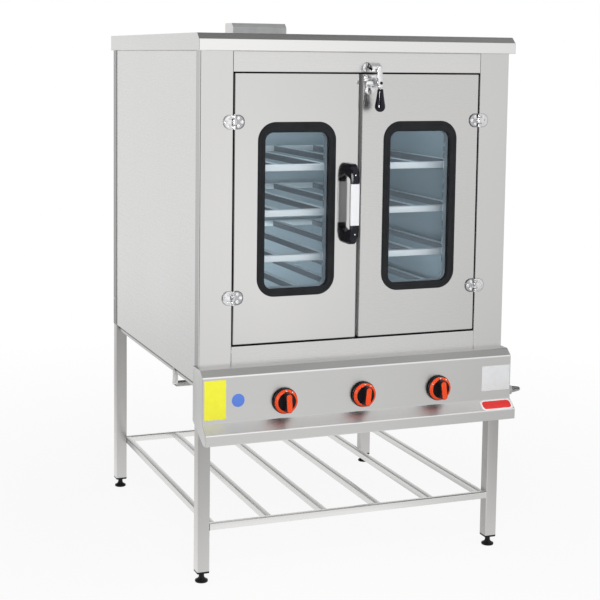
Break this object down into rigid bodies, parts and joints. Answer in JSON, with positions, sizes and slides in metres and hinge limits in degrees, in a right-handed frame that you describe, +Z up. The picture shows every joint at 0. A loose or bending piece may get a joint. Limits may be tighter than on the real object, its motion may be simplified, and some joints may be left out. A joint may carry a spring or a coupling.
{
  "type": "gas pastry oven",
  "caption": "Free-standing gas oven with glazed double doors, racks inside, gas taps on a front panel and an open stand.",
  "frame": {"origin": "on the floor, under the middle of the cabinet", "axes": "+Z up; the doors and the control panel face -Y; +X to the right as seen from the front"},
  "size_m": [1.068, 1.0855, 1.664],
  "materials": {
    "satin_steel": "satin",
    "chamber_steel": "satin",
    "polished_steel": "polished",
    "brass": "satin",
    "black_plastic": "matte",
    "black_rubber": "matte",
    "window_glass": "gloss",
    "insulation_wool": "matte",
    "burner_steel": "matte"
  },
  "bodies": {
    "oven_frame": {"legs": "satin_steel", "leg_plugs": "black_plastic", "stand_top_rails": "satin_steel", "undershelf_rails": "satin_steel", "undershelf_slats": "satin_steel", "left_side_panel": "satin_steel", "right_side_panel": "satin_steel", "rear_panel": "satin_steel", "base_panel": "satin_steel", "top_cover": "satin_steel", "front_posts": "satin_steel", "front_top_rail": "satin_steel", "front_bottom_rail": "satin_steel", "chamber_panels": "chamber_steel", "chamber_floor": "chamber_steel", "insulation": "insulation_wool", "rack_runners": "chamber_steel", "rack_1": "satin_steel", "rack_2": "satin_steel", "rack_3": "satin_steel", "rack_4": "satin_steel", "burners": "burner_steel", "gas_manifold": "burner_steel", "gas_inlet": "polished_steel", "tap_bodies": "brass", "control_panel": "satin_steel", "under_tray": "satin_steel", "flue_cowl": "satin_steel", "flue_duct": "satin_steel", "hinge_frame_leaves": "polished_steel", "latch_keeper": "polished_steel", "door_gasket": "black_rubber"},
    "left_door": {"left_door_skin": "satin_steel", "left_door_liner": "chamber_steel", "left_door_insulation": "insulation_wool", "left_door_glass": "window_glass", "left_window_gasket": "black_rubber", "left_hinge_leaves": "polished_steel", "handle_brackets": "black_plastic", "handle_grip": "polished_steel", "centre_seal": "black_rubber"},
    "right_door": {"right_door_skin": "satin_steel", "right_door_liner": "chamber_steel", "right_door_insulation": "insulation_wool", "right_door_glass": "window_glass", "right_window_gasket": "black_rubber", "right_hinge_leaves": "polished_steel", "latch_base": "polished_steel"},
    "latch": {"latch_lever": "polished_steel", "latch_grip": "black_plastic"},
    "tap_plunger_left": {"tap_plunger_left": "brass"},
    "knob_left": {"knob_left": "black_plastic"},
    "tap_plunger_middle": {"tap_plunger_middle": "brass"},
    "knob_middle": {"knob_middle": "black_plastic"},
    "tap_plunger_right": {"tap_plunger_right": "brass"},
    "knob_right": {"knob_right": "black_plastic"},
    "foot_front_left": {"foot_front_left": "black_plastic"},
    "foot_front_right": {"foot_front_right": "black_plastic"},
    "foot_rear_left": {"foot_rear_left": "black_plastic"},
    "foot_rear_right": {"foot_rear_right": "black_plastic"}
  },
  "joints": [
    {"name": "left_door_hinge", "type": "hinge", "parent": "oven_frame", "child": "left_door", "pos_m": [-0.398, -0.501, 1.1], "axis": [0, 0, -1], "range_deg": [0, 180]},
    {"name": "right_door_hinge", "type": "hinge", "parent": "oven_frame", "child": "right_door", "pos_m": [0.398, -0.501, 1.1], "axis": [0, 0, 1], "range_deg": [0, 180]},
    {"name": "latch_turn", "type": "hinge", "parent": "right_door", "child": "latch", "pos_m": [0.04, -0.525, 1.473], "axis": [0, 1, 0], "range_deg": [0, 90]},
    {"name": "left_tap_push", "type": "slide", "parent": "oven_frame", "child": "tap_plunger_left", "axis": [0, 1, 0], "range_m": [0, 0.004], "stiffness_N_per_m": 800, "springref_m": -0.006},
    {"name": "left_knob_turn", "type": "hinge", "parent": "tap_plunger_left", "child": "knob_left", "pos_m": [-0.252, -0.552, 0.545], "axis": [0, -1, 0], "range_deg": [0, 180]},
    {"name": "middle_tap_push", "type": "slide", "parent": "oven_frame", "child": "tap_plunger_middle", "axis": [0, 1, 0], "range_m": [0, 0.004], "stiffness_N_per_m": 800, "springref_m": -0.006},
    {"name": "middle_knob_turn", "type": "hinge", "parent": "tap_plunger_middle", "child": "knob_middle", "pos_m": [0, -0.552, 0.545], "axis": [0, -1, 0], "range_deg": [0, 180]},
    {"name": "right_tap_push", "type": "slide", "parent": "oven_frame", "child": "tap_plunger_right", "axis": [0, 1, 0], "range_m": [0, 0.004], "stiffness_N_per_m": 800, "springref_m": -0.006},
    {"name": "right_knob_turn", "type": "hinge", "parent": "tap_plunger_right", "child": "knob_right", "pos_m": [0.252, -0.552, 0.545], "axis": [0, -1, 0], "range_deg": [0, 180]},
    {"name": "foot_front_left_screw", "type": "slide", "parent": "oven_frame", "child": "foot_front_left", "axis": [0, 0, -1], "range_m": [0, 0.025]},
    {"name": "foot_front_right_screw", "type": "slide", "parent": "oven_frame", "child": "foot_front_right", "axis": [0, 0, -1], "range_m": [0, 0.025]},
    {"name": "foot_rear_left_screw", "type": "slide", "parent": "oven_frame", "child": "foot_rear_left", "axis": [0, 0, -1], "range_m": [0, 0.025]},
    {"name": "foot_rear_right_screw", "type": "slide", "parent": "oven_frame", "child": "foot_rear_right", "axis": [0, 0, -1], "range_m": [0, 0.025]}
  ]
}
